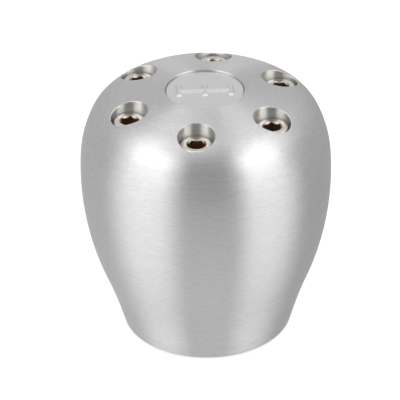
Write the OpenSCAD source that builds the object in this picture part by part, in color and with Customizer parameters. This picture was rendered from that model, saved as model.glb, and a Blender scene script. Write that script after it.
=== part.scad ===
// Gear shift knob: a turned aluminium bulb with six socket head screws sunk in its crown,
// a round badge between them and a threaded insert for the lever in its base.
// Millimetres. The base rests on Z = 0, Z is the axis of the turning, and one screw faces -Y.
// Angles along the outline are those of the surface's normal, measured from straight up.

/* [Body outline] */
// Largest diameter of the bulb
body_d = 54; // [52:0.5:60]
// Height from the base to the top of the crown, before the badge seat is cut
body_h = 57.6; // [56.4:0.2:70]
// Normal angle at the edge of the crown, where the shoulder starts
crown_angle = 13.6; // [11:0.2:16]
// Radius of the tight bend between the crown and the shoulder
shoulder_bend_r = 9; // [7:0.25:10]
// Normal angle where the tight bend opens into the wide one
shoulder_angle = 64.6; // [60:0.2:68]
// Radius of the wide bend that runs down to the widest line
shoulder_r = 24; // [22:0.5:28]
// Normal angle where the wide bend meets the flank, just above the widest line
flank_start_angle = 86.4; // [84:0.2:89]
// Radius of the long flank that narrows towards the base
flank_r = 65; // [60:1:80]
// Normal angle where the flank turns into the hollow of the neck
flank_end_angle = 111.8; // [109:0.2:112.4]
// Radius of the hollow of the neck
neck_r = 96; // [80:1:110]
// Normal angle of the straight stretch below the hollow
neck_angle = 106.2; // [104:0.2:108]
// Radius of the rounded edge round the base
base_edge_r = 1.9; // [1:0.1:2.5]

/* [Screws] */
// Number of screws round the crown
screw_count = 6; // [3:1:6]
// Distance of the screws' axes inside the widest line of the bulb
screw_inset = 9.5; // [8.6:0.1:10.5]
// Diameter of the counterbore round a screw head
counterbore_d = 7.94; // [7.4:0.02:9]
// Diameter of a screw head
head_d = 6.86; // [6.2:0.02:7.2]
// Height of a screw head
head_h = 4.17; // [3:0.01:5]
// Depth of a head's top below the crown, measured on the screw's axis
head_drop = 1.95; // [1.8:0.05:3]
// Chamfer round the top of a head
head_chamfer = 0.35; // [0.1:0.05:0.6]
// Width across the flats of the hexagon socket
socket_af = 3.57; // [2.5:0.01:4]
// Depth of the hexagon socket
socket_depth = 2.2; // [1:0.1:2.6]
// Reach of the socket's countersink past its corners
socket_chamfer = 0.1; // [0.05:0.01:0.4]
// Diameter of the screw thread
screw_d = 4.17; // [3:0.01:5]
// Length of the screw under its head
screw_len = 12.7; // [8:0.1:16]
// Chamfer at the end of the screw
screw_tip_chamfer = 0.5; // [0.2:0.1:1]
// Depth of the tapped hole past the end of the screw
screw_spare = 2.5; // [1:0.1:4]

/* [Badge] */
// Diameter of the badge
badge_d = 16.6; // [14:0.1:20]
// Thickness of the badge
badge_t = 0.9; // [0.5:0.05:1.5]
// Depth of the badge's face below the rim of its seat
badge_drop = 0.4; // [0.3:0.05:1]
// Chamfer round the face of the badge
badge_chamfer = 0.12; // [0.05:0.01:0.2]
// Width of the gear gate that stands in relief on the badge
gate_w = 12; // [9:0.5:13]
// Length of the gate's three strokes
gate_h = 4.6; // [3:0.2:6]
// Width of a stroke
gate_stroke = 1; // [0.6:0.1:1.4]
// Rise of the strokes above the badge's face
gate_rise = 0.34; // [0.1:0.02:0.4]
// How far the badge happens to be turned in its seat
gate_turn = 8; // [0:1:30]

/* [Lever insert] */
// Outer diameter of the threaded insert
insert_d = 16; // [14:0.5:20]
// Length of the insert
insert_len = 28; // [16:0.5:30]
// Depth of the insert's end inside the base
insert_recess = 2; // [0.5:0.1:4]
// Diameter of the insert's bore, cut for the crests of a 10 mm thread
lever_bore_d = 8.5; // [6.8:0.1:11]
// Countersink at each end of the insert's bore
lever_bore_chamfer = 0.9; // [0.3:0.1:1.2]
// Width of the driver slot across the insert's end
slot_w = 2; // [1:0.1:3]
// Depth of the driver slot
slot_depth = 1.8; // [1:0.1:4]
// Diameter of the room for the lever's end above the insert
lever_room_d = 11; // [8:0.5:13.5]
// Length of the room for the lever's end
lever_room_len = 7; // [3:0.5:8]
// Chamfer at the mouth of the body's bore
mouth_chamfer = 1; // [0.3:0.1:1.5]

/* [Clearances] */
// Gap round the badge in its seat
badge_gap = 0.18; // [0.05:0.01:0.4]
// Gap round a screw's thread in its hole
thread_gap = 0.03; // [0.01:0.01:0.1]
// Gap round the insert in the body's bore
insert_gap = 0.03; // [0.01:0.01:0.1]

/* [Hidden] */
$fn = 96;
// Widest step of the normal angle along the outline, on bends wider and tighter than the limit radius
wide_step = 3;
tight_step = 5;
tight_limit_r = 12;
// How far each screw's socket happens to be turned once it is tight, from a corner that faces outwards
socket_turns = [36, 10, 36, 20, 54, 0];
// Points of a drill are cones of this included angle
drill_angle = 118;
// How far a cut runs past the surface that it opens
past = 1;

// Point at a normal angle on an arc of the outline, as [radius, height]
function on_arc(centre, r, angle) = centre + r * [sin(angle), cos(angle)];

// Points of an arc of the outline; a negative radius makes a hollow one
function arc(centre, r, from, to) =
    let (step = abs(r) < tight_limit_r ? tight_step : wide_step,
         n = max(2, ceil(abs(to - from) / step)))
    [for (i = [0:n]) on_arc(centre, r, from + (to - from) * i / n)];

// Centres of the outline's arcs, each tangent to the one before it, with the widest line at height 0
flank_c = [body_d / 2 - flank_r, 0];
shoulder_c = on_arc(flank_c, flank_r - shoulder_r, flank_start_angle);
bend_c = on_arc(shoulder_c, shoulder_r - shoulder_bend_r, shoulder_angle);
crown_edge = on_arc(bend_c, shoulder_bend_r, crown_angle);
crown_r = crown_edge[0] / sin(crown_angle);
crown_c = [0, crown_edge[1] - crown_r * cos(crown_angle)];
neck_c = on_arc(flank_c, flank_r + neck_r, flank_end_angle);
neck_end = on_arc(neck_c, -neck_r, neck_angle);

// The straight stretch of the neck takes up what is left of the height
crown_top = crown_c[1] + crown_r;
base_z = crown_top - body_h;
edge_rise = base_edge_r * (1 + cos(neck_angle));
straight_len = (neck_end[1] - base_z - edge_rise) / sin(neck_angle);
straight_end = neck_end + straight_len * [cos(neck_angle), -sin(neck_angle)];
edge_c = straight_end - base_edge_r * [sin(neck_angle), cos(neck_angle)];

// Height of the crown or its bend above the base, at a radius from the axis
function surface_z(r) = -base_z + (r <= crown_edge[0]
    ? crown_c[1] + sqrt(crown_r * crown_r - r * r)
    : bend_c[1] + sqrt(pow(shoulder_bend_r, 2) - pow(r - bend_c[0], 2)));

screw_ring_r = body_d / 2 - screw_inset;
head_top_z = surface_z(screw_ring_r) - head_drop;
head_seat_z = head_top_z - head_h;
badge_seat_r = badge_d / 2 + badge_gap;
badge_seat_z = surface_z(badge_seat_r) - badge_drop - badge_t;
insert_bore_d = insert_d + 2 * insert_gap;
insert_seat_z = insert_recess + insert_len;
tapped_d = screw_d + 2 * thread_gap;

// Puts its children at each screw's place, or at one of them, with the first facing -Y
module at_screws(which = [1:screw_count]) {
    for (i = which)
        rotate([0, 0, (i - 1) * 360 / screw_count - 90])
            translate([screw_ring_r, 0, head_seat_z])
                children();
}

// Blind hole from Z = 0 down to its depth, with the cone that a drill leaves
module drilled_hole(d, depth) {
    translate([0, 0, -depth])
        cylinder(h = depth + past, d = d);
    translate([0, 0, -depth - d / 2 / tan(drill_angle / 2)])
        cylinder(h = d / 2 / tan(drill_angle / 2), d1 = 0, d2 = d);
}

// The turned outside of the knob, still solid
module turned_blank() {
    translate([0, 0, -base_z])
        rotate_extrude()
            polygon(concat(
                arc(crown_c, crown_r, 0, crown_angle),
                arc(bend_c, shoulder_bend_r, crown_angle, shoulder_angle),
                arc(shoulder_c, shoulder_r, shoulder_angle, flank_start_angle),
                arc(flank_c, flank_r, flank_start_angle, flank_end_angle),
                arc(neck_c, -neck_r, flank_end_angle, neck_angle),
                arc(edge_c, base_edge_r, neck_angle, 180),
                [[0, base_z]]));
}

// Counterbore for a head, with the tapped hole under it
module screw_seat() {
    cylinder(h = head_h + head_drop + counterbore_d, d = counterbore_d);
    drilled_hole(tapped_d, screw_len + screw_spare);
}

// Stepped bore up from the base: mouth chamfer, seat of the insert, room for the lever's end
module lever_bore() {
    mouth_d = insert_bore_d + 2 * mouth_chamfer;
    translate([0, 0, -past])
        cylinder(h = insert_seat_z + past, d = insert_bore_d);
    translate([0, 0, -past])
        cylinder(h = mouth_chamfer + past, d1 = mouth_d + 2 * past, d2 = insert_bore_d);
    translate([0, 0, insert_seat_z])
        rotate([180, 0, 0])
            drilled_hole(lever_room_d, lever_room_len);
}

module knob_body() {
    color("#b9bbbb")
    difference() {
        turned_blank();
        translate([0, 0, badge_seat_z])
            cylinder(h = body_h, r = badge_seat_r);
        at_screws()
            screw_seat();
        lever_bore();
    }
}

// Flat disc with a fine chamfer round its face, and a gear gate in relief on it
module badge() {
    color("#c4c4c4")
    translate([0, 0, badge_seat_z]) {
        cylinder(h = badge_t - badge_chamfer, d = badge_d);
        translate([0, 0, badge_t - badge_chamfer])
            cylinder(h = badge_chamfer, d1 = badge_d, d2 = badge_d - 2 * badge_chamfer);
        rotate(gate_turn)
            gear_gate();
    }
}

// Three strokes side by side and the bar that joins them, from inside the badge up
module gear_gate() {
    span = gate_w - gate_stroke;
    for (x = [-span / 2, 0, span / 2])
        translate([x, 0, 0])
            rotate(90)
                gate_bar(gate_h - gate_stroke);
    gate_bar(span);
}

// Bar along X with round ends, whose centres are that far apart
module gate_bar(length) {
    bar_h = badge_t / 2 + gate_rise;
    translate([-length / 2, -gate_stroke / 2, badge_t / 2])
        cube([length, gate_stroke, bar_h]);
    for (x = [-length / 2, length / 2])
        translate([x, 0, badge_t / 2])
            cylinder(h = bar_h, d = gate_stroke);
}

// Socket head screw that stands on Z = 0 with its head and hangs its thread below
module cap_screw() {
    color("#d8d6d0")
    difference() {
        union() {
            cylinder(h = head_h - head_chamfer, d = head_d);
            translate([0, 0, head_h - head_chamfer])
                cylinder(h = head_chamfer, d1 = head_d, d2 = head_d - 2 * head_chamfer);
            translate([0, 0, screw_tip_chamfer - screw_len])
                cylinder(h = screw_len - screw_tip_chamfer, d = screw_d);
            translate([0, 0, -screw_len])
                cylinder(h = screw_tip_chamfer, d1 = screw_d - 2 * screw_tip_chamfer, d2 = screw_d);
        }
        translate([0, 0, head_h])
            hexagon_socket();
    }
}

// Hexagon socket that opens at Z = 0, with the drilled cone at its floor and a round countersink
// at its mouth, which starts inside the flats and so cuts them in scallops
module hexagon_socket() {
    corner_d = socket_af / cos(30);
    floor_cone = socket_af / 2 / tan(drill_angle / 2);
    sink_r = socket_af / 2 - socket_chamfer;
    mouth_r = corner_d / 2 + socket_chamfer;
    translate([0, 0, -socket_depth])
        cylinder(h = socket_depth + past, d = corner_d, $fn = 6);
    translate([0, 0, sink_r - mouth_r])
        cylinder(h = mouth_r - sink_r + past, r1 = sink_r, r2 = mouth_r + past);
    translate([0, 0, -socket_depth - floor_cone])
        cylinder(h = floor_cone, d1 = 0, d2 = socket_af);
}

// Bush with a through bore for the lever's thread and a driver slot across its lower end
module thread_insert() {
    color("#c9a955")
    translate([0, 0, insert_recess])
    difference() {
        cylinder(h = insert_len, d = insert_d);
        translate([0, 0, -past])
            cylinder(h = insert_len + 2 * past, d = lever_bore_d);
        for (end = [0, 1])
            translate([0, 0, end * insert_len])
                mirror([0, 0, end])
                    translate([0, 0, -past])
                        cylinder(h = lever_bore_chamfer + past,
                                 d1 = lever_bore_d + 2 * (lever_bore_chamfer + past), d2 = lever_bore_d);
        translate([-insert_d, -slot_w / 2, -past])
            cube([2 * insert_d, slot_w, slot_depth + past]);
    }
}

knob_body();
badge();
thread_insert();
for (i = [1:screw_count])
    at_screws([i]) rotate(socket_turns[(i - 1) % len(socket_turns)]) cap_screw();
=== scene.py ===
# Gear shift knob in a plain studio: a turned aluminium bulb, six socket head screws sunk in its crown,
# a round badge between them and a threaded brass insert for the lever in its base.
# Metres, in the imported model's frame: Z is the turning axis, the base rests on Z = 0, and screw 1 faces -Y.
import math

import bmesh
import bpy
import numpy as np
from mathutils import Matrix, Vector


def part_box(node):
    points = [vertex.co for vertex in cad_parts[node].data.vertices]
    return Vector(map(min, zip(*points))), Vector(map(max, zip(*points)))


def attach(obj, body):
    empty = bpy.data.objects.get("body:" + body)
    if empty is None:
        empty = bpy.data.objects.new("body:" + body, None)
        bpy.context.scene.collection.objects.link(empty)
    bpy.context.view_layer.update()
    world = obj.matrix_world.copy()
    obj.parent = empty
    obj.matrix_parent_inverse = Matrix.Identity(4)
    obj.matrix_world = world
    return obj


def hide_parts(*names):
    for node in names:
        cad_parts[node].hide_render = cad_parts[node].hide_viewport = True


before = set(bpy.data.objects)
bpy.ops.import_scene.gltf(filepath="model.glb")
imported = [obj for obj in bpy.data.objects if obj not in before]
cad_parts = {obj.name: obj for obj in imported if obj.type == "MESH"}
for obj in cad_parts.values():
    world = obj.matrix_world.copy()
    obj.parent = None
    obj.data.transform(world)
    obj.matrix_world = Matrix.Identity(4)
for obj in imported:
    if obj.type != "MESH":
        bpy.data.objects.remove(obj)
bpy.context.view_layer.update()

# Lengths in this script are millimetres until a mesh is finished
MM = 0.001
# Points closer than this are one
JOIN = 0.001
# Rows of points this far from a sharp edge keep the faces beside it flat, on large and on small pieces
EDGE_ROW, FINE_ROW = 0.1, 0.05
SCREW_NODES = sorted(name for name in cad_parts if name.startswith("cap_screw_"))
SCREW_COUNT = len(SCREW_NODES)


def box_mm(node):
    """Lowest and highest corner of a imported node, in millimetres."""
    return [np.array(corner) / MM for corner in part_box(node)]


BODY_BOX, BADGE_BOX, INSERT_BOX = box_mm("knob_body"), box_mm("badge"), box_mm("thread_insert")
SCREW_BOXES = [box_mm(name) for name in SCREW_NODES]

# Outline of the bulb, by the angle of its normal from straight up, in degrees, and the radii of its arcs
BODY_R = BODY_BOX[1][0]
CROWN_EDGE, BEND_END, FLANK_START, FLANK_END, NECK = 13.6, 64.6, 86.4, 111.8, 106.2
BEND_R, SHOULDER_R, FLANK_R, NECK_R, BASE_EDGE_R = 9.0, 24.0, 65.0, 96.0, 1.9
# Widest step of that angle between neighbouring points
BEND_STEP, SHOULDER_STEP, FLANK_STEP, NECK_STEP, BASE_EDGE_STEP = 3, 2, 1.2, 1, 9

# Screws and the counterbores that they sit in
COUNTERBORE_R, MOUTH_ROUND = 3.97, 0.16
HEAD_R = (SCREW_BOXES[0][1][0] - SCREW_BOXES[0][0][0]) / 2
HEAD_H, HEAD_ROUND, HEAD_FOOT_CHAMFER = 4.17, 0.42, 0.15
# Rows of points on the flat of a head, this far from its socket's mouth and from its rounding
MOUTH_ROW, ROUND_ROW = 0.04, 0.03
SCREW_TOP, SCREW_TIP = SCREW_BOXES[0][1][2], SCREW_BOXES[0][0][2]
SHANK_R, SHANK_PITCH, SHANK_THREAD, SHANK_TIP = 2.085, 0.794, 0.42, 0.5
SOCKET_FLATS, SOCKET_DEPTH, SOCKET_CHAMFER, SOCKET_BURR = 3.57, 2.2, 0.1, 0.04
# How far each socket happens to be turned once its screw is tight, in degrees
SOCKET_TURNS = [36, 10, 36, 20, 54, 0]
TAPPED_R, TAPPED_SPARE = 2.115, 2.5
# Rise of a drill's point for each millimetre outwards
DRILL_CONE = math.tan(math.radians(90 - 118 / 2))

# Badge and its seat
BADGE_R = (BADGE_BOX[1][0] - BADGE_BOX[0][0]) / 2
BADGE_GAP, BADGE_CHAMFER = 0.18, 0.12
SEAT_R, SEAT_ROUND = BADGE_R + BADGE_GAP, 0.09
# Low relief on the badge, a gear lever's gate of three strokes and a bar: its size, turn and slanting edge
GATE_W, GATE_H, GATE_STROKE, GATE_RISE, GATE_EDGE = 12.0, 4.6, 1.0, 0.34, 0.55
GATE_TURN = 8.0
# Cells of the grid that the relief is made of, and the grid's margin round it
GATE_CELL, GATE_MARGIN = 0.09, 0.5

# Threaded insert and the stepped bore round it
INSERT_R = (INSERT_BOX[1][0] - INSERT_BOX[0][0]) / 2
INSERT_GAP, INSERT_CHAMFER, MOUTH_CHAMFER = 0.03, 0.3, 1.0
LEVER_R, LEVER_PITCH, LEVER_THREAD, LEVER_CHAMFER = 4.25, 1.5, 0.8, 0.9
SLOT_W, SLOT_DEPTH, CUTTER_LEN = 2.0, 1.8, 40.0
ROOM_R, ROOM_LEN = 5.5, 7.0


def on_arc(centre, radius, angle):
    """Point of the outline where its normal has that angle; a negative radius is a hollow arc."""
    a = math.radians(angle)
    return np.array(centre) + radius * np.array((math.sin(a), math.cos(a)))


flank_c = np.array((BODY_R - FLANK_R, 0.0))
shoulder_c = on_arc(flank_c, FLANK_R - SHOULDER_R, FLANK_START)
bend_c = on_arc(shoulder_c, SHOULDER_R - BEND_R, BEND_END)
crown_edge = on_arc(bend_c, BEND_R, CROWN_EDGE)
crown_r = crown_edge[0] / math.sin(math.radians(CROWN_EDGE))
crown_c = np.array((0.0, crown_edge[1] - crown_r * math.cos(math.radians(CROWN_EDGE))))
neck_c = on_arc(flank_c, FLANK_R + NECK_R, FLANK_END)
neck_end = on_arc(neck_c, -NECK_R, NECK)
# Heights above are from the widest line. The lift puts the rim of the badge seat where it is packed.
LIFT = BODY_BOX[1][2] - crown_c[1] - math.sqrt(crown_r ** 2 - SEAT_R ** 2)
edge_z = BASE_EDGE_R * (1 + math.cos(math.radians(NECK))) - LIFT
edge_r = neck_end[0] + (neck_end[1] - edge_z) / math.tan(math.radians(NECK))
edge_c = np.array((edge_r, edge_z)) - on_arc((0, 0), BASE_EDGE_R, NECK)


def surface_z(r):
    """Height of the crown and of the bend round it, at a radius from the turning axis."""
    crown = crown_c[1] + np.sqrt(crown_r ** 2 - np.minimum(r, crown_r) ** 2)
    bend = bend_c[1] + np.sqrt(np.maximum(BEND_R ** 2 - (r - bend_c[0]) ** 2, 0))
    return LIFT + np.where(r <= crown_edge[0], crown, bend)


def surface_slope(r):
    """Rise of the crown or the bend for each millimetre outwards."""
    crown = -r / np.sqrt(crown_r ** 2 - np.minimum(r, crown_r) ** 2)
    bend = -(r - bend_c[0]) / np.sqrt(np.maximum(BEND_R ** 2 - (r - bend_c[0]) ** 2, 1e-6))
    return np.where(r <= crown_edge[0], crown, bend)


def arc_points(centre, radius, start, end, step):
    """Points of one arc of the outline, as [radius, height above the base], without its first."""
    count = max(1, math.ceil(abs(end - start) / step))
    angles = np.linspace(start, end, count + 1)[1:]
    return [on_arc(centre, radius, angle) + (0, LIFT) for angle in angles]


def ring(r, z, angles):
    """Points round the Z axis; r and z may be one number or one for each angle."""
    r, z = np.broadcast_to(r, angles.shape), np.broadcast_to(z, angles.shape)
    return np.stack((r * np.cos(angles), r * np.sin(angles), z), axis=1)


class Skin:
    """Faces made row by row, each with a finish, and joined into one mesh at the end."""

    def __init__(self):
        self.points, self.faces, self.finishes = [], [], []

    def rows(self, rows, finish=0):
        """Quads between neighbouring rows of points. Rows that run outwards and round to the left face up."""
        first, width = len(self.points), len(rows[0])
        self.points.extend(point for row in rows for point in row)
        for i in range(len(rows) - 1):
            for j in range(width - 1):
                a = first + i * width + j
                self.faces.append((a, a + width, a + width + 1, a + 1))
                self.finishes.append(finish)

    def mesh(self, name):
        """The joined mesh in metres, with the finish of each face in an attribute."""
        mesh = bpy.data.meshes.new(name)
        points = np.array(self.points) * MM
        mesh.from_pydata(points.tolist(), [], self.faces)
        finish = mesh.attributes.new("finish", "INT", "FACE")
        finish.data.foreach_set("value", self.finishes)
        bm = bmesh.new()
        bm.from_mesh(mesh)
        bmesh.ops.remove_doubles(bm, verts=bm.verts, dist=JOIN * MM)
        bm.to_mesh(mesh)
        bm.free()
        return mesh


def new_object(name, mesh):
    made = bpy.data.objects.new(name, mesh)
    bpy.context.scene.collection.objects.link(made)
    return made


# Finish codes of the knob body's faces
TURNED, BORED, FACED = 0, 1, 2
# The body is made as one sector. Its screw seat is in a patch between two radii from the turning axis,
# with this many faces across the sector and along each side of the patch
PATCH_IN, PATCH_OUT = 12.7, 22.6
SECTOR_STEPS, SIDE_STEPS = 40, 16
# Radii of the rows of points between the badge's seat and the patch
CROWN_ROWS = [9.5, 10.5, 11.6]
# Rows up a counterbore's wall, round its mouth and out to the patch's border, as shares of the way
WALL_SHARES = (0.4, 0.7, 0.97)
MOUTH_ROWS = 6
PATCH_SHARES = (0, 0.02, 0.07, 0.15, 0.25, 0.36, 0.48, 0.6, 0.73, 0.86, 1)


def seat_ring_radius():
    """Distance of the screws' axes from the turning axis."""
    low, high = SCREW_BOXES[0]
    return math.hypot(*(low + high)[:2] / 2)


def patch_border():
    """Border of the sector's patch round the seat, once round to the left from its outer right corner."""
    half = math.pi / SCREW_COUNT
    sweep = np.linspace(-half, half, SECTOR_STEPS + 1)
    side = np.linspace(PATCH_OUT, PATCH_IN, SIDE_STEPS + 1)
    outer = ring(PATCH_OUT, 0, sweep)
    left = ring(side, 0, np.full_like(side, half))
    inner = ring(PATCH_IN, 0, sweep[::-1])
    right = ring(side[::-1], 0, np.full_like(side, -half))
    return np.concatenate((outer, left[1:], inner[1:], right[1:]))


def seat_rows():
    """Rows of the screw seat from the tip of its tapped hole up and out to the patch's border."""
    centre = np.array((seat_ring_radius(), 0.0))
    border = patch_border()[:, :2]
    away = border - centre
    angles = np.unwrap(np.arctan2(away[:, 1], away[:, 0]))
    outward = np.stack((np.cos(angles), np.sin(angles)), axis=1)

    def flat_ring(r, z):
        spread = centre + outward * np.broadcast_to(r, angles.shape)[:, None]
        return np.column_stack((spread, np.broadcast_to(z, angles.shape)))

    seat_z = SCREW_TOP - HEAD_H
    hole_end = SCREW_TIP - TAPPED_SPARE
    bored = [
        flat_ring(0, hole_end - TAPPED_R * DRILL_CONE),
        flat_ring(TAPPED_R, hole_end),
        flat_ring(TAPPED_R, seat_z),
        flat_ring(COUNTERBORE_R - EDGE_ROW, seat_z),
        flat_ring(COUNTERBORE_R, seat_z),
        flat_ring(COUNTERBORE_R, seat_z + EDGE_ROW),
    ]

    # The mouth is rounded over between the bore's wall and the sloping surface
    spot = centre + outward * (COUNTERBORE_R + MOUTH_ROUND)
    spot_r = np.hypot(spot[:, 0], spot[:, 1])
    slope = surface_slope(spot_r) * (spot * outward).sum(axis=1) / spot_r
    tilt = np.arctan(slope)
    round_z = surface_z(spot_r) - MOUTH_ROUND / np.cos(tilt)
    bored += [flat_ring(COUNTERBORE_R, seat_z + (round_z - seat_z) * share) for share in WALL_SHARES]
    for share in np.linspace(0, 1, MOUTH_ROWS):
        turn = math.pi / 2 + (tilt - math.pi / 2) * share
        r = COUNTERBORE_R + MOUTH_ROUND * (1 - np.sin(turn))
        bored.append(flat_ring(r, round_z + MOUTH_ROUND * np.cos(turn)))

    mouth = bored[-1][:, :2]
    turned = []
    for share in PATCH_SHARES:
        flat = mouth + (border - mouth) * share
        turned.append(np.column_stack((flat, surface_z(np.hypot(flat[:, 0], flat[:, 1])))))
    turned[0] = bored[-1]
    return bored, turned


def body_sector():
    """One sector of the knob body with its screw seat in the middle, closed at the turning axis."""
    skin = Skin()
    sweep = np.linspace(-math.pi / SCREW_COUNT, math.pi / SCREW_COUNT, SECTOR_STEPS + 1)

    def revolve(profile, finish):
        skin.rows([ring(r, z, sweep) for r, z in profile], finish)

    # Badge seat, with its rim slightly rounded
    floor_z = BADGE_BOX[0][2]
    seat = [(0, floor_z), (SEAT_R - EDGE_ROW, floor_z), (SEAT_R, floor_z), (SEAT_R, floor_z + EDGE_ROW)]
    rim_r = SEAT_R + SEAT_ROUND
    rim_z = surface_z(rim_r)
    for a in np.radians((0, 22, 45, 67, 90)):
        seat.append((rim_r - SEAT_ROUND * math.cos(a), rim_z - SEAT_ROUND * (1 - math.sin(a))))
    revolve(seat, BORED)
    crown = [rim_r, rim_r + FINE_ROW, *CROWN_ROWS, PATCH_IN]
    revolve([(r, float(surface_z(r))) for r in crown], TURNED)

    bored, turned = seat_rows()
    skin.rows(bored, BORED)
    skin.rows(turned, TURNED)

    # From the patch down the shoulder, the flank and the neck to the base
    start = math.degrees(math.asin((PATCH_OUT - bend_c[0]) / BEND_R))
    outside = [(PATCH_OUT, float(surface_z(PATCH_OUT)))]
    outside += arc_points(bend_c, BEND_R, start, BEND_END, BEND_STEP)
    outside += arc_points(shoulder_c, SHOULDER_R, BEND_END, FLANK_START, SHOULDER_STEP)
    outside += arc_points(flank_c, FLANK_R, FLANK_START, FLANK_END, FLANK_STEP)
    outside += arc_points(neck_c, -NECK_R, FLANK_END, NECK, NECK_STEP)
    outside += arc_points(edge_c, BASE_EDGE_R, NECK, 180, BASE_EDGE_STEP)
    revolve(outside, TURNED)

    # Flat base and the stepped bore, up to the drill's cone
    wall = INSERT_R + INSERT_GAP
    mouth = wall + MOUTH_CHAMFER
    step_z = INSERT_BOX[1][2]
    room_z = step_z + ROOM_LEN
    flat_r = outside[-1][0]
    base = [(flat_r, 0), (flat_r - EDGE_ROW, 0), (mouth + EDGE_ROW, 0), (mouth, 0), (wall, MOUTH_CHAMFER)]
    base += [(wall, step_z), (ROOM_R, step_z), (ROOM_R, room_z), (0, room_z + ROOM_R * DRILL_CONE)]
    revolve(base, FACED)
    return skin.mesh("body_sector")


# Finish codes of a screw's faces
POLISHED, SOCKET, COUNTERSUNK = 0, 1, 2
# Faces round a screw and round the insert, and rows to each turn of their threads
SCREW_COLUMNS, SHANK_ROWS = 60, 6
INSERT_COLUMNS, LEVER_ROWS = 72, 12
# Flat of a thread's crest and reach of its flank, as shares of half the pitch
THREAD_CREST, THREAD_FLANK = 0.15, 0.7


def thread_depth(angles, z, pitch):
    """Share of a thread's full depth on a right-handed helix: 0 on its crest and 1 at its root."""
    turn = z / pitch - angles / (2 * math.pi)
    across = 2 * np.abs(turn % 1 - 0.5)
    return np.clip((across - THREAD_CREST) / THREAD_FLANK, 0, 1)


def cap_screw():
    """One socket head screw that stands on Z = 0 with its head, from the floor of its socket to its tip."""
    skin = Skin()
    angles = np.linspace(0, 2 * math.pi, SCREW_COLUMNS + 1)
    flats_r, corner_r = SOCKET_FLATS / 2, SOCKET_FLATS / 2 / math.cos(math.pi / 6)
    hexagon = flats_r / np.cos((angles % (math.pi / 3)) - math.pi / 6)
    mouth_r = corner_r + SOCKET_CHAMFER
    floor_z = HEAD_H - SOCKET_DEPTH
    # The countersink cuts the flats in scallops, with a fine burr under its edge
    brim = HEAD_H - (mouth_r - hexagon)
    burr = ring(hexagon, brim - SOCKET_BURR, angles)
    # The socket's floor and walls take the dark finish, which is painted shade
    well = [ring(0, floor_z - flats_r * DRILL_CONE, angles), ring(flats_r, floor_z, angles)]
    well += [ring(hexagon, floor_z, angles), burr]
    skin.rows(well, SOCKET)
    mouth = ring(mouth_r, HEAD_H, angles)
    skin.rows([burr, ring(hexagon, brim, angles), mouth], COUNTERSUNK)

    head = [mouth, ring(mouth_r + MOUTH_ROW, HEAD_H, angles)]
    head.append(ring(HEAD_R - HEAD_ROUND - ROUND_ROW, HEAD_H, angles))
    for a in np.radians(np.linspace(0, 90, 7)):
        edge = HEAD_ROUND * np.array((math.sin(a), math.cos(a)))
        head.append(ring(HEAD_R - HEAD_ROUND + edge[0], HEAD_H - HEAD_ROUND + edge[1], angles))
    head.append(ring(HEAD_R, HEAD_H - HEAD_ROUND - FINE_ROW, angles))
    head.append(ring(HEAD_R, HEAD_FOOT_CHAMFER, angles))
    head.append(ring(HEAD_R - HEAD_FOOT_CHAMFER, 0, angles))
    head.append(ring(SHANK_R, 0, angles))
    skin.rows(head, POLISHED)

    length = SCREW_TOP - HEAD_H - SCREW_TIP
    row = SHANK_PITCH / SHANK_ROWS
    shank = [ring(SHANK_R, 0, angles)]
    for z in np.arange(-row, -length, -row):
        fade = min(1, -z / SHANK_PITCH)
        r = SHANK_R - SHANK_THREAD * fade * thread_depth(angles, z, SHANK_PITCH)
        shank.append(ring(np.minimum(r, SHANK_R - SHANK_TIP + z + length), z, angles))
    shank += [ring(SHANK_R - SHANK_TIP, -length, angles), ring(0, -length, angles)]
    skin.rows(shank, POLISHED)
    return skin.mesh("one_cap_screw")


# Rows from the relief's grid out to the badge's rim, as shares of the way
FACE_SHARES = (0, 0.15, 0.35, 0.55, 0.75, 0.97, 1)


def gate_height(x, y):
    """Height of the relief above the badge's face."""
    reach = GATE_H / 2 - GATE_STROKE / 2
    span = GATE_W / 2 - GATE_STROKE / 2
    far = np.hypot(np.maximum(np.abs(x) - span, 0), y)
    for stroke in (-span, 0, span):
        far = np.minimum(far, np.hypot(x - stroke, np.maximum(np.abs(y) - reach, 0)))
    share = np.clip(0.5 - (far - GATE_STROKE / 2) / GATE_EDGE, 0, 1)
    return GATE_RISE * share * share * (3 - 2 * share)


def badge():
    """The round badge: a grid over its relief, joined to the round rim, the chamfer and the back."""
    skin = Skin()
    face_z, back_z = BADGE_BOX[1][2], BADGE_BOX[0][2]
    flat_z = face_z - GATE_RISE
    half_x, half_y = GATE_W / 2 + GATE_MARGIN, GATE_H / 2 + GATE_MARGIN
    cos, sin = math.cos(math.radians(GATE_TURN)), math.sin(math.radians(GATE_TURN))
    across = np.linspace(-half_x, half_x, round(2 * half_x / GATE_CELL) + 1)
    along = np.linspace(-half_y, half_y, round(2 * half_y / GATE_CELL) + 1)

    def turned(x, y):
        return np.stack((x * cos - y * sin, x * sin + y * cos, flat_z + gate_height(x, y)), axis=1)

    skin.rows([turned(np.full_like(along, x), along) for x in across])
    right = np.column_stack((np.full_like(along, half_x), along))
    back = np.column_stack((across[::-1], np.full_like(across, half_y)))
    border = np.concatenate((right, back[1:], -right[1:], -back[1:]))
    inner = turned(border[:, 0], border[:, 1])
    angles = np.unwrap(np.arctan2(inner[:, 1], inner[:, 0]))
    rim = ring(BADGE_R - BADGE_CHAMFER, flat_z, angles)
    rows = [inner + (rim - inner) * share for share in FACE_SHARES]
    rows += [ring(BADGE_R, flat_z - BADGE_CHAMFER, angles), ring(BADGE_R, back_z, angles)]
    rows.append(ring(0, back_z, angles))
    skin.rows(rows)
    return skin.mesh("badge_disc")


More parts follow.
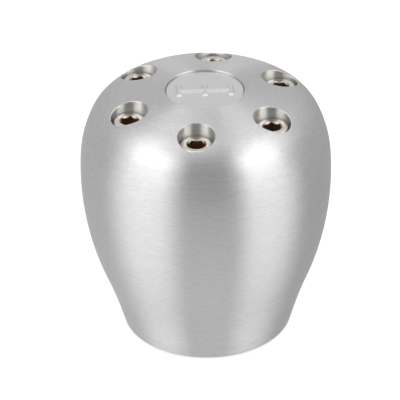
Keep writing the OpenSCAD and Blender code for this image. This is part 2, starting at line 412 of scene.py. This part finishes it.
def thread_insert():
    """The threaded bush: bore with a real thread and countersunk ends. Its driver slot is cut afterwards."""
    skin = Skin()
    angles = np.linspace(0, 2 * math.pi, INSERT_COLUMNS + 1)
    low, high = INSERT_BOX[0][2], INSERT_BOX[1][2]
    sink, face_r = LEVER_R + LEVER_CHAMFER, INSERT_R - INSERT_CHAMFER
    row = LEVER_PITCH / LEVER_ROWS
    rows = [ring(face_r, low, angles), ring(sink, low, angles)]
    for z in np.arange(low + row, high, row):
        r = LEVER_R + LEVER_THREAD * thread_depth(angles, z, LEVER_PITCH)
        cone = sink - min(z - low, high - z)
        rows.append(ring(np.maximum(r, cone), z, angles))
    rows += [ring(sink, high, angles), ring(face_r, high, angles)]
    rows += [ring(INSERT_R, high - INSERT_CHAMFER, angles), ring(INSERT_R, low + INSERT_CHAMFER, angles)]
    rows.append(ring(face_r, low, angles))
    skin.rows(rows)
    return skin.mesh("insert_bush")


# Materials. Noise stays mostly between these two values, which become the ends of a pattern.
NOISE_LOW, NOISE_HIGH = 0.35, 0.65
BUMP_STRENGTH = 0.3


def linear(colour):
    """Linear RGBA of an sRGB hex colour."""
    parts = [int(colour[i:i + 2], 16) / 255 for i in (1, 3, 5)]
    return [c / 12.92 if c <= 0.04045 else ((c + 0.055) / 1.055) ** 2.4 for c in parts] + [1.0]


def node(tree, kind, inputs=None, **settings):
    """Adds a node with its settings. Each input, by name or number, is a plain value, another node's output,
    or another node, which gives its first output in use."""
    made = tree.nodes.new(kind)
    for key, value in settings.items():
        setattr(made, key, value)
    for key, value in (inputs or {}).items():
        if isinstance(value, bpy.types.Node):
            value = next(output for output in value.outputs if output.enabled)
        if isinstance(value, bpy.types.NodeSocket):
            tree.links.new(value, made.inputs[key])
        else:
            made.inputs[key].default_value = value
    return made


def material(name, **shader):
    """A new material with its shader's constant values set, and the tree and shader to add nodes to."""
    made = bpy.data.materials.new(name)
    made.use_nodes = True
    tree = made.node_tree
    bsdf = next(n for n in tree.nodes if n.type == "BSDF_PRINCIPLED")
    for key, value in shader.items():
        bsdf.inputs[key.replace("_", " ")].default_value = value
    return made, tree, bsdf


def show_pattern(tree, bsdf, pattern, colours, roughness, depth):
    """Lets a pattern change a surface's colour, its roughness and, by a depth in millimetres, its relief."""
    share = node(tree, "ShaderNodeMapRange",
                 {"Value": pattern, "From Min": NOISE_LOW, "From Max": NOISE_HIGH})
    low, high = (linear(colour) for colour in colours)
    tint = node(tree, "ShaderNodeMix", {0: share, 6: low, 7: high}, data_type="RGBA")
    rough = node(tree, "ShaderNodeMapRange", {"Value": share, "To Min": roughness[0], "To Max": roughness[1]})
    bump = node(tree, "ShaderNodeBump", {"Height": share, "Strength": BUMP_STRENGTH, "Distance": depth * MM})
    tree.links.new(tint.outputs[2], bsdf.inputs["Base Color"])
    tree.links.new(rough.outputs[0], bsdf.inputs["Roughness"])
    tree.links.new(bump.outputs[0], bsdf.inputs["Normal"])


def turning_grain(tree, length, width, depth=None):
    """Noise in streaks that run round the Z axis, of that length in millimetres, and of that width upwards
    and that depth outwards."""
    place = node(tree, "ShaderNodeTexCoord").outputs["Object"]
    flat = node(tree, "ShaderNodeVectorMath", {0: place, 1: (1, 1, 0)}, operation="MULTIPLY")
    outward = node(tree, "ShaderNodeVectorMath", {0: flat}, operation="NORMALIZE")
    # The streaks keep their angle at every radius, and get their length on the widest line
    turns = BODY_R / length
    turned = node(tree, "ShaderNodeVectorMath", {0: outward, 1: (turns, turns, 0)}, operation="MULTIPLY")
    raised = node(tree, "ShaderNodeVectorMath", {0: place, 1: (0, 0, 1 / (width * MM))}, operation="MULTIPLY")
    spot = node(tree, "ShaderNodeVectorMath", {0: turned, 1: raised}, operation="ADD")
    radius = node(tree, "ShaderNodeVectorMath", {0: flat}, operation="LENGTH").outputs["Value"]
    inward = node(tree, "ShaderNodeMath", {0: radius, 1: 1 / ((depth or width) * MM)}, operation="MULTIPLY")
    noise = node(tree, "ShaderNodeTexNoise", {"Vector": spot, "W": inward, "Scale": 1, "Detail": 2},
                 noise_dimensions="4D")
    return noise.outputs["Fac"]


def even_grain(tree, width, height=None):
    """Noise whose lumps are about that many millimetres wide, and that many high where a height is given."""
    place = node(tree, "ShaderNodeTexCoord").outputs["Object"]
    shares = (1 / (width * MM), 1 / (width * MM), 1 / ((height or width) * MM))
    spot = node(tree, "ShaderNodeVectorMath", {0: place, 1: shares}, operation="MULTIPLY")
    return node(tree, "ShaderNodeTexNoise", {"Vector": spot, "Scale": 1, "Detail": 2}).outputs["Fac"]


def grain_along(tree, bsdf, surface_way):
    """Runs the streaks of an anisotropic metal level, at right angles to another direction."""
    level = node(tree, "ShaderNodeVectorMath", {0: (0, 0, 1), 1: surface_way}, operation="CROSS_PRODUCT")
    way = node(tree, "ShaderNodeVectorMath", {0: level}, operation="NORMALIZE")
    tree.links.new(way.outputs[0], bsdf.inputs["Tangent"])
    bsdf.inputs["Anisotropic Rotation"].default_value = 0.25


def turned_brushed_aluminium():
    """Turned aluminium brushed round its axis: satin, with soft upright bands of light and fine level
    streaks. Real ones are under 0.1 mm wide. These are 0.36 mm, the finest that show in the render."""
    made, tree, bsdf = material("turned_brushed_aluminium", Metallic=1.0, Anisotropic=0.92)
    grain_along(tree, bsdf, node(tree, "ShaderNodeTexCoord").outputs["Object"])
    short = turning_grain(tree, 1.5, 0.36, 0.5)
    long = turning_grain(tree, 6, 0.36)
    cloud = turning_grain(tree, 16, 7)
    streaks = node(tree, "ShaderNodeMix", {"Factor": 0.35, "A": short, "B": long})
    grain = node(tree, "ShaderNodeMix", {"Factor": 0.1, "A": streaks, "B": cloud})
    show_pattern(tree, bsdf, grain, ("#dadada", "#e7e7e7"), (0.345, 0.375), 0.02)
    return made


def bored_bright_aluminium():
    """Freshly bored aluminium: brighter than the outside, satin, hardly warm, with fine level tool marks.
    The marks are drawn 0.2 mm apart, about twice as coarse as a boring tool leaves them, to show."""
    made, tree, bsdf = material("bored_bright_aluminium", Metallic=1.0, Anisotropic=1.0)
    grain_along(tree, bsdf, node(tree, "ShaderNodeNewGeometry").outputs["Normal"])
    show_pattern(tree, bsdf, even_grain(tree, 3, 0.2), ("#e2e0dc", "#f0efec"), (0.33, 0.4), 0.012)
    return made


def faced_aluminium():
    """Aluminium faced and bored in the lathe, under the knob: plain turned rings."""
    made, tree, bsdf = material("faced_aluminium", Metallic=1.0, Anisotropic=0.6)
    show_pattern(tree, bsdf, turning_grain(tree, 30, 0.4), ("#c4c5c6", "#d4d5d6"), (0.25, 0.4), 0.06)
    return made


def polished_steel():
    """Bright polished stainless steel: near mirror, a little warm beside the aluminium, with faint marks
    of handling."""
    made, tree, bsdf = material("polished_steel", Metallic=1.0)
    show_pattern(tree, bsdf, even_grain(tree, 0.7), ("#e6e2da", "#f2efe9"), (0.07, 0.12), 0.002)
    return made


def socket_steel_painted_shade():
    """Broached socket walls, rough and painted dark brown: painted shade for the dark deep inside the socket.
    """
    made, tree, bsdf = material("socket_steel_painted_shade", Metallic=0.7)
    show_pattern(tree, bsdf, even_grain(tree, 0.35), ("#5e442f", "#8a6a49"), (0.3, 0.5), 0.02)
    return made


def countersunk_steel():
    """Steel that a countersink has cut round a socket's mouth: satin and a little brown, so that the edge
    looks soft."""
    made, tree, bsdf = material("countersunk_steel", Metallic=1.0)
    show_pattern(tree, bsdf, even_grain(tree, 0.35), ("#a7a097", "#c5bfb6"), (0.2, 0.32), 0.01)
    return made


def matte_blasted_aluminium():
    """Bead-blasted aluminium: even pale grey without streaks. Its grit is drawn at 0.25 mm, about twice
    as coarse as it is, to show."""
    made, tree, bsdf = material("matte_blasted_aluminium", Metallic=1.0)
    show_pattern(tree, bsdf, even_grain(tree, 0.25), ("#e8e8e8", "#f2f2f2"), (0.3, 0.38), 0.015)
    return made


def machined_brass():
    """Free-cutting brass from the lathe: yellow, satin, with turned rings."""
    made, tree, bsdf = material("machined_brass", Metallic=1.0)
    show_pattern(tree, bsdf, turning_grain(tree, 30, 0.3), ("#c9a650", "#ddc07c"), (0.2, 0.34), 0.04)
    return made


def pale_table():
    """Opal acrylic table top, lit a little from within, so that it stays pale under the knob."""
    made, tree, bsdf = material("opal_acrylic_table", Roughness=0.6, Emission_Strength=0.42)
    bsdf.inputs["Base Color"].default_value = linear("#f4f4f4")
    bsdf.inputs["Emission Color"].default_value = linear("#ffffff")
    return made


# Copies of a piece at places, by Geometry Nodes. Neighbours' edges this close are welded, in millimetres.
WELD = 0.002


def copies_tree(finish_count):
    """A tree that puts a piece on every point, turned about Z, welds them and gives each finish its
    material."""
    tree = bpy.data.node_groups.new("copies_at_places", "GeometryNodeTree")
    sockets = {"Places": "NodeSocketGeometry", "Piece": "NodeSocketObject", "Weld": "NodeSocketFloat"}
    sockets.update({f"Finish {i}": "NodeSocketMaterial" for i in range(finish_count)})
    identifiers = {}
    for name, kind in sockets.items():
        identifiers[name] = tree.interface.new_socket(name, in_out="INPUT", socket_type=kind).identifier
    tree.interface.new_socket("Copies", in_out="OUTPUT", socket_type="NodeSocketGeometry")
    given = node(tree, "NodeGroupInput").outputs
    piece = node(tree, "GeometryNodeObjectInfo", {"Object": given["Piece"]})
    turn = node(tree, "GeometryNodeInputNamedAttribute", {"Name": "turn"}, data_type="FLOAT")
    about_z = node(tree, "ShaderNodeCombineXYZ", {"Z": turn})
    placed = node(tree, "GeometryNodeInstanceOnPoints",
                  {"Points": given["Places"], "Instance": piece.outputs["Geometry"], "Rotation": about_z})
    real = node(tree, "GeometryNodeRealizeInstances", {"Geometry": placed})
    last = node(tree, "GeometryNodeMergeByDistance", {"Geometry": real, "Distance": given["Weld"]})
    finish = node(tree, "GeometryNodeInputNamedAttribute", {"Name": "finish"}, data_type="INT")
    for i in range(finish_count):
        this = node(tree, "FunctionNodeCompare", {2: finish, 3: i}, data_type="INT", operation="EQUAL")
        last = node(tree, "GeometryNodeSetMaterial",
                    {"Geometry": last, "Selection": this, "Material": given[f"Finish {i}"]})
    node(tree, "NodeGroupOutput", {"Copies": last})
    return tree, identifiers


def place_copies(name, mesh, places, turns, finishes):
    """One object with the mesh at every place, in metres, turned by degrees about Z."""
    piece = new_object("one_" + name, mesh)
    points = bpy.data.meshes.new(name + "_places")
    points.from_pydata(places, [], [])
    turn = points.attributes.new("turn", "FLOAT", "POINT")
    turn.data.foreach_set("value", np.radians(turns).tolist())
    made = new_object(name, points)
    tree, identifiers = copies_tree(len(finishes))
    modifier = made.modifiers.new("copies", "NODES")
    modifier.node_group = tree
    modifier[identifiers["Piece"]] = piece
    modifier[identifiers["Weld"]] = WELD * MM
    for i, finish in enumerate(finishes):
        modifier[identifiers[f"Finish {i}"]] = finish
    finished_mesh(made, modifier)
    bpy.data.objects.remove(piece)
    return made


def finished_mesh(piece, modifier):
    """Turns what a modifier gives into the piece's own plain mesh."""
    seen = piece.evaluated_get(bpy.context.evaluated_depsgraph_get())
    whole = bpy.data.meshes.new_from_object(seen)
    piece.modifiers.remove(modifier)
    piece.data = whole


def cut_driver_slot(bush):
    """Cuts the driver slot across the lower end of the bush, with a cutter that reaches past both sides."""
    cutter = new_object("slot_cutter", bpy.data.meshes.new("slot_cutter"))
    bm = bmesh.new()
    bmesh.ops.create_cube(bm, size=1)
    bm.to_mesh(cutter.data)
    bm.free()
    cutter.data.transform(Matrix.Diagonal((CUTTER_LEN * MM, SLOT_W * MM, 2 * SLOT_DEPTH * MM, 1)))
    cutter.data.transform(Matrix.Translation((0, 0, INSERT_BOX[0][2] * MM)))
    cut = bush.modifiers.new("slot", "BOOLEAN")
    cut.operation, cut.object, cut.solver = "DIFFERENCE", cutter, "EXACT"
    finished_mesh(bush, cut)
    bpy.data.objects.remove(cutter)


def shade(piece, sharp_angle=30):
    """Smooth faces, with edges sharper than that angle kept crisp."""
    piece.data.shade_smooth()
    piece.data.set_sharp_from_angle(angle=math.radians(sharp_angle))


def settle(piece, slot, *nodes):
    """Fixes a piece to the one body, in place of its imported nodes."""
    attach(piece, "root")
    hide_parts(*nodes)


brushed = turned_brushed_aluminium()
bright = bored_bright_aluminium()
faced = faced_aluminium()

# Directions of the screws, with the first towards -Y
steps = np.arange(SCREW_COUNT) * 360 / SCREW_COUNT - 90
axis = [(0, 0, 0)] * SCREW_COUNT
body = place_copies("turned_body", body_sector(), axis, steps, [brushed, bright, faced])
shade(body)
settle(body, "body", "knob_body")

middles = [(low + high) / 2 for low, high in SCREW_BOXES]
seats = [(x * MM, y * MM, (SCREW_TOP - HEAD_H) * MM) for x, y, _ in middles]
screw_finishes = [polished_steel(), socket_steel_painted_shade(), countersunk_steel()]
screws = place_copies("cap_screws", cap_screw(), seats, steps + SOCKET_TURNS, screw_finishes)
shade(screws)
settle(screws, "screws", *SCREW_NODES)

disc = new_object("round_badge", badge())
disc.data.materials.append(matte_blasted_aluminium())
shade(disc, 50)
settle(disc, "badge", "badge")

bush = new_object("lever_insert", thread_insert())
bush.data.materials.append(machined_brass())
cut_driver_slot(bush)
shade(bush)
settle(bush, "insert", "thread_insert")

# Studio: camera, floor and light
CAMERA_AZIMUTH, CAMERA_ELEVATION, CAMERA_ROLL = 6.4, 31.0, 0.8
CAMERA_DISTANCE, CAMERA_LENS = 850.0, 353.6
CAMERA_TARGET = (0, 0, 30.0)
CAMERA_LEFT, CAMERA_DOWN = 1.35, 0.41
FLOOR_R = 6000


def direction(azimuth, elevation):
    """Unit vector from the knob, with azimuth 0 towards -Y and growing towards +X."""
    a, e = math.radians(azimuth), math.radians(elevation)
    return Vector((math.sin(a) * math.cos(e), -math.cos(a) * math.cos(e), math.sin(e)))


def photo_camera():
    camera = bpy.data.objects.new("photo_camera", bpy.data.cameras.new("photo_camera"))
    bpy.context.scene.collection.objects.link(camera)
    back = direction(CAMERA_AZIMUTH, CAMERA_ELEVATION)
    right = Vector((0, 0, 1)).cross(back).normalized()
    up = back.cross(right)
    roll = math.radians(CAMERA_ROLL)
    right, up = right * math.cos(roll) - up * math.sin(roll), right * math.sin(roll) + up * math.cos(roll)
    at = Vector(CAMERA_TARGET) + back * CAMERA_DISTANCE - right * CAMERA_LEFT - up * CAMERA_DOWN
    axes = Matrix((right, up, back)).transposed().to_4x4()
    camera.matrix_world = Matrix.Translation(at * MM) @ axes
    camera.data.lens, camera.data.sensor_width = CAMERA_LENS, 36
    camera.data.clip_start, camera.data.clip_end = 0.05, 20
    bpy.context.scene.camera = camera


def studio_floor():
    """The table, which shows in no reflection, so that only the room's tones light the knob from below."""
    floor = new_object("studio_floor", bpy.data.meshes.new("studio_floor"))
    bm = bmesh.new()
    bmesh.ops.create_circle(bm, cap_ends=True, segments=96, radius=FLOOR_R * MM)
    bm.to_mesh(floor.data)
    bm.free()
    floor.data.materials.append(pale_table())
    floor.visible_glossy = False


def softbox(name, azimuth, low, high, distance, width, radiance):
    """An upright panel of light whose lower and upper edge are at those elevations from the knob."""
    bottom, top = (distance * math.tan(math.radians(edge)) for edge in (low, high))
    light = bpy.data.lights.new(name, "AREA")
    light.shape, light.size, light.size_y = "RECTANGLE", width, top - bottom
    light.energy = radiance * math.pi * width * (top - bottom)
    made = bpy.data.objects.new(name, light)
    bpy.context.scene.collection.objects.link(made)
    away = direction(CAMERA_AZIMUTH + azimuth, 0)
    made.location = away * distance + Vector((0, 0, (bottom + top) / 2))
    made.rotation_euler = away.to_track_quat("Z", "Y").to_euler()


def studio_surroundings(room_tones, patches):
    """Soft grey room with patches of another brightness. A patch has an azimuth from the camera, how far to
    each side it is full and where it has faded out, and tones, as pairs of elevation and brightness."""
    world = bpy.data.worlds.new("studio")
    bpy.context.scene.world = world
    world.use_nodes = True
    world.cycles.sampling_method = "NONE"
    tree = world.node_tree
    way = node(tree, "ShaderNodeTexCoord").outputs["Generated"]
    rise = node(tree, "ShaderNodeSeparateXYZ", {0: way}).outputs["Z"]
    angle = node(tree, "ShaderNodeMath", {0: rise}, operation="ARCSINE")
    height = node(tree, "ShaderNodeMapRange",
                  {"Value": angle, "From Min": -math.pi / 2, "From Max": math.pi / 2})
    flat = node(tree, "ShaderNodeVectorMath", {0: way, 1: (1, 1, 0)}, operation="MULTIPLY")
    level = node(tree, "ShaderNodeVectorMath", {0: flat}, operation="NORMALIZE")
    shades = []
    for tones in (room_tones, *(patch[3] for patch in patches)):
        # A new ramp has two stops, which stay straight down and straight up
        ramp = node(tree, "ShaderNodeValToRGB", {"Fac": height})
        for elevation, brightness in tones[1:-1]:
            ramp.color_ramp.elements.new(elevation / 180 + 0.5)
        for stop, (elevation, brightness) in zip(ramp.color_ramp.elements, tones):
            stop.color = (brightness, brightness, brightness, 1)
        shades.append(ramp.outputs["Color"])
    room = shades[0]
    for (azimuth, full, fading, _), shade in zip(patches, shades[1:]):
        middle = direction(CAMERA_AZIMUTH + azimuth, 0)
        towards = node(tree, "ShaderNodeVectorMath", {0: level, 1: middle}, operation="DOT_PRODUCT")
        near, far = math.cos(math.radians(full)), math.cos(math.radians(fading))
        share = node(tree, "ShaderNodeMapRange",
                     {"Value": towards.outputs["Value"], "From Min": far, "From Max": near},
                     interpolation_type="SMOOTHSTEP")
        room = node(tree, "ShaderNodeMix", {0: share, 6: room, 7: shade}, data_type="RGBA").outputs[2]
    tree.links.new(room, tree.nodes["Background"].inputs["Color"])


# Light, with angles in degrees. Two tall softboxes beside the camera, with distances in metres.
BOX_AZIMUTH, BOX_LOW, BOX_HIGH, BOX_DISTANCE, BOX_WIDTH = 57, 8, 62, 1.2, 0.9
LEFT_RADIANCE, RIGHT_RADIANCE = 0.3, 0.6
# Tones of the grey room, from straight down to straight up
ROOM_TONES = [(-90, 0.64), (-50, 0.46), (-10, 0.43), (20, 0.55), (45, 0.83), (70, 0.86), (90, 1.05)]
# A paler wall at the far left, and the dark round the camera
WALL_TONES = [(-90, 0.64), (-50, 0.61), (-10, 0.52), (20, 0.56), (45, 0.63), (70, 1.19), (90, 1.05)]
FRONT_TONES = [(-90, 0.64), (-50, 0.79), (-25, 0.57), (5, 0.3), (40, 0.3), (55, 0.36), (70, 0.6), (90, 1.05)]
# The glow round each softbox and of the table under it
LEFT_TONES = [(-90, 0.64), (-70, 0.55), (-50, 1.08), (-20, 1.16), (10, 0.81),
              (45, 2.1), (60, 0.6), (70, 0.3), (80, 0.95), (90, 1.05)]
RIGHT_TONES = [(-90, 0.64), (-70, 0.82), (-50, 0.96), (-20, 1.1), (10, 0.58),
               (45, 1.8), (60, 0.7), (70, 0.3), (80, 0.3), (90, 1.05)]
# The walls beside the knob, which the softboxes light high up
LEFT_WALL_TONES = [(-90, 0.64), (-50, 0.61), (-10, 0.52), (15, 0.5),
                   (42, 1.0), (58, 1.5), (70, 1.3), (90, 1.05)]
RIGHT_WALL_TONES = [(-90, 0.64), (-50, 0.46), (-10, 0.43), (18, 0.48),
                    (42, 1.3), (58, 1.6), (70, 1.3), (90, 1.05)]
PATCHES = [
    (-140, 15, 60, WALL_TONES),
    (-95, 4, 34, LEFT_WALL_TONES),
    (95, 4, 30, RIGHT_WALL_TONES),
    (0, 8, 40, FRONT_TONES),
    (-60, 8, 42, LEFT_TONES),
    (61, 8, 38, RIGHT_TONES),
]

studio_floor()
photo_camera()
studio_surroundings(ROOM_TONES, PATCHES)
softbox("left_softbox", -BOX_AZIMUTH, BOX_LOW, BOX_HIGH, BOX_DISTANCE, BOX_WIDTH, LEFT_RADIANCE)
softbox("right_softbox", BOX_AZIMUTH, BOX_LOW, BOX_HIGH, BOX_DISTANCE, BOX_WIDTH, RIGHT_RADIANCE)
bpy.context.scene.view_settings.view_transform = "Standard"
